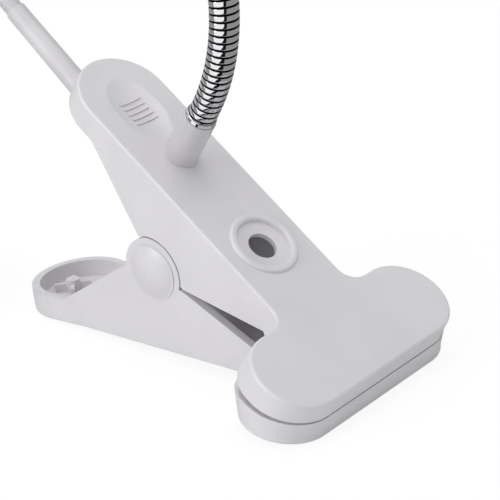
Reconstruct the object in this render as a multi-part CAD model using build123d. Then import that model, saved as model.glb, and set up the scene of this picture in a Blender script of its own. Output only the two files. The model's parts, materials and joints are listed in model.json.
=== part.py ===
from build123d import *
import math
import os

# Clip-on reading lamp: a sprung clip of two hollow arms on one pivot, a flexible metal neck
# that rises from the upper arm, a small LED head on its end, and a cord with a USB plug.
# Millimetres. +X points to the jaw, +Z up, and the pivot axis lies along Y. The lamp stands
# on Z = 0 and is symmetric about Y = 0 apart from its cord. The origin is the middle of the
# lamp's own box, without the cord, on the surface that it stands on.

# ---- clip arms ----
PIVOT_X = -44.7             # pivot axis, from the origin
CLIP_ANGLE = 39.0           # between the outer faces of the two arms, jaw closed
ARM_WIDTH = 25.6
WALL = 2.2
TRAY_DEPTH = 6.9            # side walls of the arms, away from the cheeks
FAR = 100.0                 # past the end of either arm, for the cuts
EDGE_ROUND = 0.7
CORNER_ROUND = 5.0          # inner corner between arm and jaw plate
BEND_ROUND = 40.0           # the outer face bends gently into the jaw plate
UPPER_DEPTH = 23.0          # pivot axis to the upper arm's outer face
LOWER_DEPTH = 21.8          # pivot axis to the lower arm's outer face
UPPER_TAIL = 48.8           # pivot to tail end
LOWER_TAIL = 56.2
LOWER_TAIL_RADIUS = 13.6    # the lower tail is a little wider than its arm
LOWER_TAIL_NECK = 30.0      # pivot to where that width has run out

# ---- jaw plates ----
JAW_CENTRE = 47.4           # pivot to the middle of each plate
JAW_LENGTH = 64.6           # along Y
JAW_WIDTH = 23.0
JAW_DRAFT = 4.0             # side walls flare towards the rim
JAW_INSET = 0.25            # the flare starts this far inside the plate's edge
JAW_REACH = 16.0            # depth of the flared body before it is cut to the meeting plane
UPPER_BEND = 8.0            # each plate is bent outwards from its arm
LOWER_BEND = 12.5
UPPER_BEND_AT = 33.4        # pivot to bend line
LOWER_BEND_AT = 37.6
MEET_ANGLE = 21.75          # the plane where the jaws meet, from the lower outer face
MEET_OFFSET = 2.6           # that plane above the pivot axis
MEET_FRONT = 63.0           # pivot to the front rims, along that plane
JAW_GAP = 0.3               # between the front rims
JAW_ROOM = 30.5             # front rims to the arms' cheeks
JAW_TOE = 2.5               # each rim opens towards the pivot by this angle
LINER_THICK = 2.6
LINER_DROP = 0.5            # liner face behind the rim
LINER_FIT = 0.15
RIB_THICK = 1.6
RIB_SPACING = 18.0

# ---- cheeks and pivot ----
UPPER_REAR = (32.0, 8.4, 5.3)   # cheek's rear edge: pivot to its tray end, to its pivot end,
LOWER_REAR = (35.9, 8.4, -0.8)  # and that end's height towards the outer face
UPPER_FRONT = (33.5, 9.6, 4.2)  # cheek's front edge, the same
LOWER_FRONT = (33.1, 9.6, 3.4)
EAR_RADIUS = 9.1
EAR_GAP = 0.45
LUG_RADIUS = 6.2
LUG_ROOT = 9.0              # half length of a lug where it joins the roof
LUG_THICK = 2.0
SIDE_GAP = 0.4              # between the lugs and the lower arm's ears
PIN_RADIUS = 2.0
PIN_FIT = 0.05
CAP_RADIUS = 7.4
CAP_EDGE = 0.3
CAP_LIP = 0.5               # flat edge around the dome
CAP_DOME = 1.9
CAP_STEM = (1.1, 3.0)       # radius and length, pressed into the pin's end

# ---- spring ----
WIRE_RADIUS = 0.85
COIL_RADIUS = 4.4           # to the wire's centre
SPRING_WIDTH = 12.8         # first to last turn, along Y
COIL_TURNS = 7
UPPER_LEG = 12.0            # pivot to the leg's tip, along the upper arm
LOWER_LEG = 22.0
LEG_FIT = 0.1

# ---- eyelet and thumb rest of the upper arm ----
EYELET_AT = 16.1            # pivot to its centre, towards the jaw
EYELET_RADIUS = 9.0
EYELET_HEIGHT = 0.8
EYELET_BOWL = 7.1           # inner radius of the raised ring
EYELET_ROUND = 0.7          # on both edges of that ring
EYELET_FLOOR = (0.5, 0.9)   # depth of the floor inside it, at the ring and at the bore
EYELET_BORE = 3.7
THUMB_AT = 31.0             # pivot to its centre, towards the tail
THUMB_LENGTH = 21.0
THUMB_WIDTH = 13.0
THUMB_DEPTH = 1.3
THUMB_BOWL = 6.0            # half height of the ellipsoid that hollows it out
THUMB_ROUND = 2.0           # on the edge of the hollow
THUMB_RIBS = 5
THUMB_RIB = (7.0, 0.5, 0.4)     # length, width, height
THUMB_RIB_PITCH = 1.7

# ---- inside the lower tail ----
BOSS_AT = 46.5              # pivot to the boss
BOSS_RADIUS = 1.9
BOSS_HEIGHT = 3.2
BOSS_RIB = (10.0, 1.1, 2.2)     # length, width, height
POCKET_AT = 20.3            # pivot to the pocket in each cheek's rear edge
POCKET = (5.5, 0.9, 1.2)        # length, width, depth

# ---- collar, foot and nut of the neck ----
NECK_AT = 15.0              # pivot to the neck's axis, towards the tail
NECK_RADIUS = 3.6
NECK_BORE = 1.8
COLLAR_HEIGHT = 13.5
COLLAR_BASE = 4.45
COLLAR_TOP = 4.1
FERRULE_SIZE = (3.9, 1.3)   # radius and height of the ring on the collar's top
FERRULE_ROUND = 0.2         # on its outer edge
FOOT_RADIUS = 3.0
FOOT_FLANGE = 4.0           # height of its flange above the arm
FOOT_BELOW = 5.4            # its thread below the arm's outer face
NUT_FLATS = 10.0
NUT_HEIGHT = 2.8
SNUG_FIT = 0.05             # round pieces that are fixed in one another

# ---- flexible neck ----
LINK_LENGTH = 34.0
STUB_RISE = 2.0             # the fixed first length ends this far above the collar
LINK_TURNS = (-38.0, -20.0, -6.0, 24.0, 40.0, 40.0, 38.0, 30.0)
LINK_CONE = 16.0            # end faces are coned back, so that two links can turn 30 degrees
LINK_BALL = 2.6             # each link ends in a hollow ball, seated in the link before
LINK_FIT = 0.05

# ---- lamp head, turned about the neck's end ----
TIP_FLANGE = (4.4, 2.5)     # radius and thickness, outside the shell
TIP_RADIUS = 3.0
TIP_INSIDE = 8.0
HEAD_BACK = 17.0            # radius of the flat back
HEAD_CORNER = 3.0
HEAD_RADIUS = 28.5
HEAD_BELL = 36.0            # back face to the straight rim
HEAD_LENGTH = 54.0
HEAD_WALL = 2.0
HEAD_BULGE = 2.6            # the bell's side stands out from a straight cone
SINK_DEPTH = 22.0           # shell's rim to the heat sink's back face
SINK_THICK = 2.5
SINK_FIT = 1.5              # the shell's bore to the heat sink
SINK_LEDGE = (2.0, 2.5)     # thickness, and width under the heat sink
FIN_COUNT = 8
FIN_HEIGHT = 7.0
FIN_REACH = (8.0, 3.0)      # axis to its inner end, and its outer end to the heat sink's edge
FIN_THICK = 1.5
BOARD_THICK = 1.6
BOARD_EDGE = 1.0            # heat sink's edge to the board's edge
LED_COUNT = 8
LED_EDGE = 0.9              # reflector to the LEDs
LED_SIZE = (3.0, 0.8)
LENS_DEPTH = 8.0            # shell's rim to the lens's back face
LENS_THICK = 2.0
REFLECTOR_GAP = 1.4         # the board's screws to the reflector
REFLECTOR_WALL = 1.5
REFLECTOR_RIM = 1.6         # height of its straight rim
LENS_RING_LIP = 1.5
LENS_RING_WIDTH = 5.0       # shell's outside to the ring's bore
PART_FIT = 0.1
DRIVER_AT = 16.0
DRIVER_RADIUS = 15.5
POST_RADIUS = 2.0
POST_CIRCLE = 12.5
SCREW_RADIUS = 1.1
SCREW_HEAD = (2.1, 1.3)     # radius and height
SCREW_LENGTH = 4.0
LED_SCREW_EDGE = 2.6        # board's edge to its screws
BUTTON_AT = 10.5            # from the head's axis
BUTTON_RADIUS = 3.4
BUTTON_RISE = 3.0
BUTTON_TRAVEL = 1.5
BUTTON_FIT = 0.3
BUTTON_FLANGE = (4.1, 1.1)  # radius and thickness
SWITCH_SIZE = 8.0
SWITCH_GAP = 0.2
STEM_RADIUS = 1.5
STEM_LENGTH = 3.6

# ---- cord ----
SLEEVE_FROM = (20.0, 12.0)  # inner end: pivot to it along the arm, and below the outer face
SLEEVE_TO = (76.5, 8.9)     # outer end, the same
SLEEVE_RADII = (3.1, 2.75)
SLEEVE_FLANGE = (4.6, 1.4)  # radius and thickness, on each side of the arm's wall
GROMMET_WALL = 1.8
GROMMET_LOBE = 6.0
CORE_RADIUS = 0.7           # of the two cores inside the clip and the head
CORE_SPACING = 1.6
CORE_BEND = 3.0
CORD_RADIUS = 2.4
CORD_ROUTE = [              # the run's points after the strain relief's end, down to the coil
    (-109.0, 0.0, 90.65), (-124.6, 2.5, 94.9), (-141.5, 7.5, 91.8), (-156.5, 11.5, 81.8),
    (-166.0, 13.0, 66.0), (-169.0, 12.5, 47.0), (-168.8, 10.5, 28.5), (-168.4, 2.5, 15.0),
    (-168.4, -11.0, 7.2), (-168.4, -25.5, 7.2),
]
COIL_LEAD = 6.0             # the run's last point to the middle of the coil, along Y
COIL_JOIN = 32.4            # radius of the coil's outer turn, where the run joins it
COIL_RADII = (13.2, 36.0)
COIL_LAYERS = 2
PLUG_EXIT = (33.6, 10.0)    # where the cord leaves the coil: distance along -Y, and along X
PLUG_TAIL = 26.0            # coil's middle to the plug, along X
PLUG_NOSE = (8.0, 3.4, 2.9)     # length and radii of its strain relief
PLUG_SIZE = (18.0, 15.5, 8.0)   # length, width and thickness of its body
PLUG_ROUND = 2.5
SHELL_SIZE = (12.0, 12.0, 4.5)  # the plug's steel shell, the same
SHELL_WALL = 0.35
SHELL_SINK = 6.0            # length of the shell inside the body
TONGUE_THICK = 1.9


def cosd(angle):
    return math.cos(math.radians(angle))


def sind(angle):
    return math.sin(math.radians(angle))


def tand(angle):
    return math.tan(math.radians(angle))


# The lamp stands nose up, on the rounded edges of the lower tail's end and the lower jaw's front.
jaw_edge_x = JAW_CENTRE + JAW_WIDTH * cosd(LOWER_BEND) / 2 - EDGE_ROUND
jaw_edge_z = EDGE_ROUND / cosd(LOWER_BEND) - LOWER_DEPTH - (jaw_edge_x - LOWER_BEND_AT) * tand(LOWER_BEND)
tail_edge_x = EDGE_ROUND - LOWER_TAIL
tail_edge_z = EDGE_ROUND - LOWER_DEPTH
stand_tilt = math.degrees(math.atan2(tail_edge_z - jaw_edge_z, jaw_edge_x - tail_edge_x))
pivot_z = EDGE_ROUND - tail_edge_x * sind(stand_tilt) - tail_edge_z * cosd(stand_tilt)

# Each arm is drawn with its outer face up and the pivot axis through the origin.
pivot = Pos(PIVOT_X, 0, pivot_z)
upper_arm_at = pivot * Rot(0, CLIP_ANGLE - stand_tilt, 0)
lower_arm_at = pivot * Rot(0, -stand_tilt, 0) * Rot(180, 0, 0)
meet_at = pivot * Rot(0, MEET_ANGLE - stand_tilt, 0) * Pos(MEET_FRONT, 0, MEET_OFFSET)
half_width = ARM_WIDTH / 2
inner_half = half_width - WALL


# ---- shapes used by several pieces ----
def side_face(points):
    """Face in the XZ plane through the points."""
    return make_face(Polyline([(x, 0, z) for x, z in points], close=True))


def slab(points, y_from, y_to):
    """The XZ outline, from one Y to another."""
    return Pos(0, y_from, 0) * extrude(side_face(points), amount=y_to - y_from, dir=(0, 1, 0))


def both_sides(points, y_in, y_out):
    """The same slab on both sides of the centre plane."""
    return slab(points, y_in, y_out) + slab(points, -y_out, -y_in)


def cross_rod(radius, y_from, y_to):
    """Cylinder on the pivot axis."""
    return Pos(0, (y_from + y_to) / 2, 0) * Rot(90, 0, 0) * Cylinder(radius, y_to - y_from)


def turned(points):
    """Solid turned about Z from an outline of radius and height."""
    return revolve(make_face(Polyline([(r, 0, z) for r, z in points], close=True)), Axis.Z)


def ring(outer, inner, height):
    """Flat ring with its lower face on Z = 0."""
    return extrude(Circle(outer) - Circle(inner), amount=height)


def nut(flats, height, bore):
    """Hexagon nut with its lower face on Z = 0."""
    return extrude(RegularPolygon(flats / 2, 6, major_radius=False) - Circle(bore), amount=height)


# ---- the two arms of the clip ----
def arm_plan(tail, tail_radius, neck, bend, inset):
    """Outline of an arm seen square to its outer face, drawn in by the inset."""
    half = half_width - inset
    plan = Pos((JAW_CENTRE - neck) / 2, 0) * Rectangle(JAW_CENTRE + neck, 2 * half)
    end = Pos(tail_radius - tail, 0) * Circle(tail_radius - inset)
    shoulder = Pos(-neck, 0) * Rectangle(0.2, 2 * half)
    plan += make_hull(end.edges() + shoulder.edges())
    width = JAW_WIDTH * cosd(bend)
    back = JAW_CENTRE - width / 2
    if inset > 0:
        return plan & Pos(back - FAR, 0) * Rectangle(2 * FAR, 2 * FAR)
    plan += Pos(JAW_CENTRE, 0) * SlotOverall(JAW_LENGTH, width, rotation=90)
    corners = [v for v in plan.vertices() if abs(abs(v.Y) - half) < 0.05 and abs(v.X - back) < 0.2]
    straight = (JAW_LENGTH - width) / 2 - half
    return fillet(corners, min(CORNER_ROUND, 0.9 * straight))


def arm_profile(depth, bend, bend_at, skin, floor):
    """Side profile from the skin below the outer face down to the floor, wider than the arm."""
    far = JAW_CENTRE + JAW_WIDTH
    top = depth - skin
    low = depth - floor
    rise = (far - bend_at) * tand(bend)
    points = [(-FAR, top), (bend_at, top), (far, top + rise), (far, low), (-FAR, low)]
    block = slab(points, -JAW_LENGTH, JAW_LENGTH)
    crease = [e for e in block.edges() if abs(e.center().X - bend_at) + abs(e.center().Z - top) < 0.1]
    return fillet(crease, BEND_ROUND)


def jaw_body(depth, bend, bend_at, inset, drop):
    """Flared jaw plate, drawn in by the inset and starting the drop below its outer face."""
    along = (JAW_CENTRE - bend_at) / cosd(bend)
    outline = SlotOverall(JAW_LENGTH - 2 * inset, JAW_WIDTH - 2 * inset, rotation=90)
    plate = extrude(outline, amount=-JAW_REACH, taper=-JAW_DRAFT)
    return Pos(bend_at, 0, depth) * Rot(0, -bend, 0) * Pos(along, 0, -drop) * plate


def rim_slab(side, low, high):
    """Slab along one jaw's rim plane, between two distances into that jaw: side is 1 or -1."""
    rim = meet_at * Pos(0, 0, side * JAW_GAP / 2) * Rot(0, side * JAW_TOE, 0)
    box = Box(2 * JAW_WIDTH, 2 * JAW_LENGTH, high - low)
    return rim * Pos(0, 0, side * (low + high) / 2) * box


def jaw_room(side, high):
    """The far side of a rim plane, over the jaw plates alone."""
    rim = meet_at * Pos(0, 0, side * JAW_GAP / 2) * Rot(0, side * JAW_TOE, 0)
    box = Box(2 * JAW_ROOM, 2 * JAW_LENGTH, high)
    return rim * Pos(0, 0, -side * high / 2) * box


def cheek_outline(depth, rear, front):
    """Outline of a cheek, from the tray's side wall to the pivot."""
    low = depth - TRAY_DEPTH
    points = [(-rear[0], low + WALL), (-rear[0], low), (-rear[1], rear[2])]
    return points + [(front[1], front[2]), (front[0], low), (front[0], low + WALL)]


def arm_and_liner(at, side, depth, tail, tail_radius, neck, bend, bend_at, rear, front):
    """One arm, hollow, with its cheeks and its jaw plate, and the liner that fits the jaw."""
    plan = arm_plan(tail, tail_radius, neck, bend, 0)
    tray = extrude(plan, amount=FAR) & arm_profile(depth, bend, bend_at, 0, TRAY_DEPTH)
    edges = []
    for face in tray.faces():
        if face.normal_at().Z > 0.9:
            for edge in face.edges():
                crease = abs(edge.tangent_at(0.5).Y) > 0.99 and abs(edge.center().Y) < 1
                if not (crease and 0 < edge.center().X < JAW_CENTRE):
                    edges.append(edge)
    tray = fillet(edges, EDGE_ROUND)
    inner = arm_plan(tail, tail_radius, neck, bend, WALL)
    hollow = extrude(inner, amount=FAR) & arm_profile(depth, bend, bend_at, WALL, FAR)
    cavity = at * jaw_body(depth, bend, bend_at, WALL, WALL)
    liner = at * jaw_body(depth, bend, bend_at, WALL + LINER_FIT, WALL)
    liner &= rim_slab(side, LINER_DROP, LINER_DROP + LINER_THICK)
    ribs = [
        at * slab([(0, 0), (FAR, 0), (FAR, FAR), (0, FAR)], y - RIB_THICK / 2, y + RIB_THICK / 2)
        for y in (-RIB_SPACING, 0, RIB_SPACING)
    ]
    seat = rim_slab(side, LINER_DROP + LINER_THICK, 40)
    body = at * (tray + both_sides(cheek_outline(depth, rear, front), inner_half, half_width) - hollow)
    jaw = at * jaw_body(depth, bend, bend_at, JAW_INSET, EDGE_ROUND)
    body = (body + jaw - cavity) - jaw_room(side, 30)
    for rib in ribs:
        body += rib & cavity & seat
    return body, liner


upper_arm, upper_liner = arm_and_liner(
    upper_arm_at, 1, UPPER_DEPTH, UPPER_TAIL, half_width, UPPER_TAIL - half_width,
    UPPER_BEND, UPPER_BEND_AT, UPPER_REAR, UPPER_FRONT,
)
lower_arm, lower_liner = arm_and_liner(
    lower_arm_at, -1, LOWER_DEPTH, LOWER_TAIL, LOWER_TAIL_RADIUS, LOWER_TAIL_NECK,
    LOWER_BEND, LOWER_BEND_AT, LOWER_REAR, LOWER_FRONT,
)


# ---- pivot: ears, lugs, pin, caps and spring ----
def upright(sketch, y_from, y_to):
    """Sketch of X and Z, as a plate from one Y to another."""
    return Pos(0, y_to, 0) * extrude(Plane.XZ * sketch, amount=y_to - y_from)


upper_arm -= upper_arm_at * cross_rod(EAR_RADIUS + EAR_GAP, -half_width, half_width)
for y in (-half_width, inner_half):
    lower_arm += lower_arm_at * cross_rod(EAR_RADIUS, y, y + WALL)
lower_arm -= lower_arm_at * cross_rod(PIN_RADIUS, -half_width, half_width)

lug_root = Pos(0, UPPER_DEPTH - WALL / 2) * Rectangle(2 * LUG_ROOT, 0.2)
lug = make_hull(Circle(LUG_RADIUS).edges() + lug_root.edges()) - Circle(PIN_RADIUS + PIN_FIT)
lug_outside = inner_half - SIDE_GAP
for y in (-lug_outside, lug_outside - LUG_THICK):
    upper_arm += upper_arm_at * upright(lug, y, y + LUG_THICK)

stem_radius, stem_length = CAP_STEM
pivot_pin = pivot * cross_rod(PIN_RADIUS, -half_width, half_width)
for y in (-half_width, half_width - stem_length):
    pivot_pin -= pivot * cross_rod(stem_radius, y, y + stem_length)


def pivot_cap():
    """Domed cap on its stem, with its flat underside on Z = 0."""
    face_radius = CAP_RADIUS - CAP_LIP
    bend = (face_radius**2 + CAP_DOME**2) / (2 * CAP_DOME)
    half_angle = math.asin(face_radius / bend) / 2
    top = CAP_EDGE + CAP_DOME
    middle = (bend * math.sin(half_angle), 0, top - bend * (1 - math.cos(half_angle)))
    corners = [(0, -stem_length), (stem_radius, -stem_length), (stem_radius, 0), (CAP_RADIUS, 0)]
    corners += [(CAP_RADIUS, CAP_EDGE), (face_radius, CAP_EDGE)]
    side = Polyline([(r, 0, z) for r, z in corners])
    dome = ThreePointArc((face_radius, 0, CAP_EDGE), middle, (0, 0, top))
    axis = Line((0, 0, top), (0, 0, -stem_length))
    return revolve(make_face(side + dome + axis), Axis.Z)


pivot_cap_near = pivot * Pos(0, -half_width, 0) * Rot(90, 0, 0) * pivot_cap()
pivot_cap_far = pivot * Pos(0, half_width, 0) * Rot(-90, 0, 0) * pivot_cap()


def seen_from_pivot(place, along, height):
    """X and Z from the pivot of a point given in one arm's own axes."""
    point = (pivot.inverse() * place * Pos(along, 0, height)).position
    return point.X, point.Z


def touch_angle(tip, side):
    """Angle about the pivot where a straight leg to the tip leaves the coil."""
    reach = math.degrees(math.acos(COIL_RADIUS / math.hypot(*tip)))
    return math.degrees(math.atan2(tip[1], tip[0])) + side * reach


leg_depth = WALL + WIRE_RADIUS + LEG_FIT
upper_tip = seen_from_pivot(upper_arm_at, -UPPER_LEG, UPPER_DEPTH - leg_depth)
lower_tip = seen_from_pivot(lower_arm_at, -LOWER_LEG, LOWER_DEPTH - leg_depth)
coil_start = touch_angle(upper_tip, 1)
coil_end = touch_angle(lower_tip, -1) % 360
turns = COIL_TURNS + (coil_end - coil_start) / 360
coil_plane = Plane(
    origin=(0, SPRING_WIDTH / 2, 0),
    x_dir=(cosd(coil_start), 0, sind(coil_start)),
    z_dir=(0, -1, 0),
)
coil_path = coil_plane * Helix(SPRING_WIDTH / turns, SPRING_WIDTH, COIL_RADIUS)
jaw_spring = sweep(Plane(origin=coil_path @ 0, z_dir=coil_path % 0) * Circle(WIRE_RADIUS), coil_path)
for end, tip in ((coil_path @ 0, upper_tip), (coil_path @ 1, lower_tip)):
    leg = Vector(tip[0], end.Y, tip[1]) - end
    jaw_spring += Plane(origin=end + leg / 2, z_dir=leg) * Cylinder(WIRE_RADIUS, leg.length)
    jaw_spring += Pos(end) * Sphere(1.04 * WIRE_RADIUS)
jaw_spring = pivot * jaw_spring

# ---- eyelet and thumb rest on the upper arm ----
eyelet_at = upper_arm_at * Pos(EYELET_AT, 0, UPPER_DEPTH)
eyelet = turned([
    (EYELET_BORE, -WALL), (EYELET_RADIUS, -WALL), (EYELET_RADIUS, EYELET_HEIGHT),
    (EYELET_BOWL, EYELET_HEIGHT), (EYELET_BOWL, -EYELET_FLOOR[0]), (EYELET_BORE, -EYELET_FLOOR[1]),
])
eyelet = fillet(eyelet.edges().group_by(Axis.Z)[-1], EYELET_ROUND)
upper_arm -= eyelet_at * Cylinder(EYELET_BOWL, 3 * WALL)
upper_arm += eyelet_at * eyelet

thumb_at = upper_arm_at * Pos(-THUMB_AT, 0, UPPER_DEPTH)
bowl_height = THUMB_BOWL - THUMB_DEPTH
bowl_scale = math.sqrt(1 - (bowl_height / THUMB_BOWL) ** 2)
bowl_size = (THUMB_LENGTH / 2 / bowl_scale, THUMB_WIDTH / 2 / bowl_scale, THUMB_BOWL)
bowl = Pos(0, 0, bowl_height) * scale(Sphere(1), by=bowl_size)
upper_arm -= thumb_at * bowl
bowl_centre = (thumb_at * Pos(0, 0, -THUMB_DEPTH)).position
rest = upper_arm.faces().sort_by_distance(bowl_centre)[0]
upper_arm = fillet(rest.edges(), THUMB_ROUND)
rib_length, rib_width, rib_height = THUMB_RIB
for index in range(THUMB_RIBS):
    along = (index - (THUMB_RIBS - 1) / 2) * THUMB_RIB_PITCH
    rib = Pos(along, 0, -WALL / 2) * Box(rib_width, rib_length, WALL)
    upper_arm += thumb_at * (rib - Pos(0, 0, rib_height) * bowl)

# ---- inside the lower tail ----
boss_at = lower_arm_at * Pos(-BOSS_AT, 0, LOWER_DEPTH - WALL)
lower_arm += boss_at * Pos(0, 0, -BOSS_HEIGHT / 2) * Cylinder(BOSS_RADIUS, BOSS_HEIGHT + 0.2)
rib_length, rib_width, rib_height = BOSS_RIB
for turn in (45, 135):
    lower_arm += boss_at * Rot(0, 0, turn) * Pos(0, 0, -rib_height / 2) * Box(
        rib_length, rib_width, rib_height + 0.2
    )
rear_low = LOWER_DEPTH - TRAY_DEPTH
rear_slope = math.degrees(math.atan2(rear_low - LOWER_REAR[2], LOWER_REAR[0] - LOWER_REAR[1]))
pocket_height = rear_low - (LOWER_REAR[0] - POCKET_AT) * tand(rear_slope)
pocket_length, pocket_width, pocket_depth = POCKET
for y in (-half_width + WALL / 2, half_width - WALL / 2):
    pocket_at = lower_arm_at * Pos(-POCKET_AT, y, pocket_height) * Rot(0, rear_slope, 0)
    lower_arm -= pocket_at * Box(pocket_length, pocket_width, 2 * pocket_depth)

# ---- collar, foot and nut of the neck ----
neck_at = upper_arm_at * Pos(-NECK_AT, 0, UPPER_DEPTH)
upper_arm -= neck_at * Cylinder(FOOT_RADIUS + SNUG_FIT, 3 * WALL)
collar_bore = NECK_RADIUS + SNUG_FIT
neck_collar = neck_at * turned([
    (collar_bore, 0), (COLLAR_BASE, 0), (COLLAR_TOP, COLLAR_HEIGHT), (collar_bore, COLLAR_HEIGHT),
])
ferrule_radius, ferrule_height = FERRULE_SIZE
ferrule = ring(ferrule_radius, collar_bore, ferrule_height)
ferrule = fillet(ferrule.edges().group_by(Axis.Z)[-1].sort_by(SortBy.RADIUS)[-1], FERRULE_ROUND)
neck_ferrule = neck_at * Pos(0, 0, COLLAR_HEIGHT) * ferrule
neck_foot = neck_at * ring(NECK_RADIUS, NECK_BORE, FOOT_FLANGE)
neck_foot += neck_at * Pos(0, 0, -FOOT_BELOW) * ring(FOOT_RADIUS, NECK_BORE, FOOT_BELOW)
neck_nut = neck_at * Pos(0, 0, -WALL - NUT_HEIGHT) * nut(NUT_FLATS, NUT_HEIGHT, FOOT_RADIUS + SNUG_FIT)

# ---- strain relief in its wall, and the two cores inside the clip ----
sleeve_run = (SLEEVE_FROM[0] - SLEEVE_TO[0], SLEEVE_FROM[1] - SLEEVE_TO[1])
sleeve_length = math.hypot(*sleeve_run)
sleeve_turn = math.degrees(math.atan2(*sleeve_run))
sleeve_at = upper_arm_at * Pos(-SLEEVE_FROM[0], 0, UPPER_DEPTH - SLEEVE_FROM[1]) * Rot(0, sleeve_turn, 0)
flange_radius, flange_thick = SLEEVE_FLANGE
neck_radius, end_radius = SLEEVE_RADII
wall_top = SLEEVE_FROM[1] - WALL / 2
wall_low = neck_radius
web = Pos((wall_top + wall_low) / 2, 0) * Rectangle(wall_top - wall_low, 2 * inner_half + 0.4)
wall = extrude(web + Circle(GROMMET_LOBE), amount=GROMMET_WALL)
wall -= Cylinder(neck_radius + SNUG_FIT, 4 * GROMMET_WALL)
upper_arm += sleeve_at * Pos(0, 0, flange_thick) * wall
outer_flange = flange_thick + GROMMET_WALL
strain_relief = sleeve_at * turned([
    (0, 0), (flange_radius, 0), (flange_radius, flange_thick), (neck_radius, flange_thick),
    (neck_radius, outer_flange), (flange_radius, outer_flange),
    (flange_radius, outer_flange + flange_thick), (neck_radius, outer_flange + flange_thick),
    (end_radius, sleeve_length), (0, sleeve_length),
])

core_corner = UPPER_DEPTH - SLEEVE_FROM[1] - (SLEEVE_FROM[0] - NECK_AT) * (sleeve_run[1] / -sleeve_run[0])
core_path = FilletPolyline(
    [
        (-SLEEVE_FROM[0], 0, UPPER_DEPTH - SLEEVE_FROM[1]),
        (-NECK_AT, 0, core_corner),
        (-NECK_AT, 0, UPPER_DEPTH - FOOT_FLANGE),
    ],
    radius=CORE_BEND,
)
core = sweep(Plane(origin=core_path @ 0, z_dir=core_path % 0) * Circle(CORE_RADIUS), core_path)
clip_wires = upper_arm_at * (Pos(0, CORE_SPACING / 2, 0) * core + Pos(0, -CORE_SPACING / 2, 0) * core)

# ---- flexible neck: short bent tubes, each with a hollow ball that seats in the one before ----
cone_radius = NECK_RADIUS + 1
cone_height = cone_radius * tand(LINK_CONE)
link_foot = turned([(0, 0), (cone_radius, cone_height), (cone_radius, -1), (0, -1)])
link_head = turned([(0, 0), (cone_radius, -cone_height), (cone_radius, 1), (0, 1)])
link_seat = Sphere(LINK_BALL + LINK_FIT)
link_ball = Sphere(LINK_BALL) - Cylinder(NECK_BORE, 4 * LINK_BALL)

stub_height = COLLAR_HEIGHT + STUB_RISE
stub = Pos(0, 0, FOOT_FLANGE) * ring(NECK_RADIUS, NECK_BORE, stub_height - FOOT_FLANGE)
neck_links = [neck_at * (stub - Pos(0, 0, stub_height) * (link_head + link_seat))]
link_at = neck_at * Pos(0, 0, stub_height)
joint_places = []
for index, turn in enumerate(LINK_TURNS):
    bend = LINK_LENGTH / math.radians(turn)
    axis = Axis((bend, 0, 0), (0, math.copysign(1, turn), 0))
    link = revolve(Circle(NECK_RADIUS) - Circle(NECK_BORE), axis, revolution_arc=abs(turn))
    end_at = Pos(bend * (1 - cosd(turn)), 0, bend * sind(turn)) * Rot(0, turn, 0)
    link = link - link_foot + link_ball
    if index < len(LINK_TURNS) - 1:
        link -= end_at * (link_head + link_seat)
    neck_links.append(link_at * link)
    joint_places.append(link_at)
    link_at = link_at * end_at

# ---- lamp head, drawn with its flat back on Z = 0 and its light towards +Z ----
tip_radius, tip_thick = TIP_FLANGE
head_at = link_at * Pos(0, 0, tip_thick)
neck_tip = Pos(0, 0, -tip_thick) * ring(tip_radius, NECK_BORE, tip_thick)
neck_tip += ring(TIP_RADIUS, NECK_BORE, TIP_INSIDE)
head_nut = Pos(0, 0, HEAD_WALL) * nut(NUT_FLATS, NUT_HEIGHT, TIP_RADIUS + SNUG_FIT)


def bell(inset, top):
    """Solid bell, drawn in by the inset, up to a height."""
    start = (HEAD_BACK - inset, 0, inset)
    rim = (HEAD_RADIUS - inset, 0, HEAD_BELL)
    middle = ((start[0] + rim[0]) / 2 + HEAD_BULGE, 0, (start[2] + rim[2]) / 2)
    back = Line((0, 0, inset), start)
    side = Polyline([rim, (HEAD_RADIUS - inset, 0, top), (0, 0, top), (0, 0, inset)])
    solid = revolve(make_face(back + ThreePointArc(start, middle, rim) + side), Axis.Z)
    corner = solid.edges().filter_by(GeomType.CIRCLE).sort_by(Axis.Z)[0]
    return fillet(corner, HEAD_CORNER - inset)


def around(count, radius, first, shape):
    """Copies of a shape on a circle, as separate solids or as one to be joined."""
    turns = [first + 360 * index / count for index in range(count)]
    return [Rot(0, 0, turn) * Pos(radius, 0, 0) * shape for turn in turns]


shell_bore = HEAD_RADIUS - HEAD_WALL
sink_at = HEAD_LENGTH - SINK_DEPTH
sink_radius = shell_bore - SINK_FIT
board_radius = sink_radius - BOARD_EDGE
led_screw_circle = board_radius - LED_SCREW_EDGE
screw_head, screw_head_height = SCREW_HEAD
reflector_foot = led_screw_circle - screw_head - REFLECTOR_GAP - REFLECTOR_WALL
led_circle = reflector_foot - LED_EDGE - LED_SIZE[0] / 2
lens_at = HEAD_LENGTH - LENS_DEPTH
ring_bore = HEAD_RADIUS - LENS_RING_WIDTH

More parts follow.
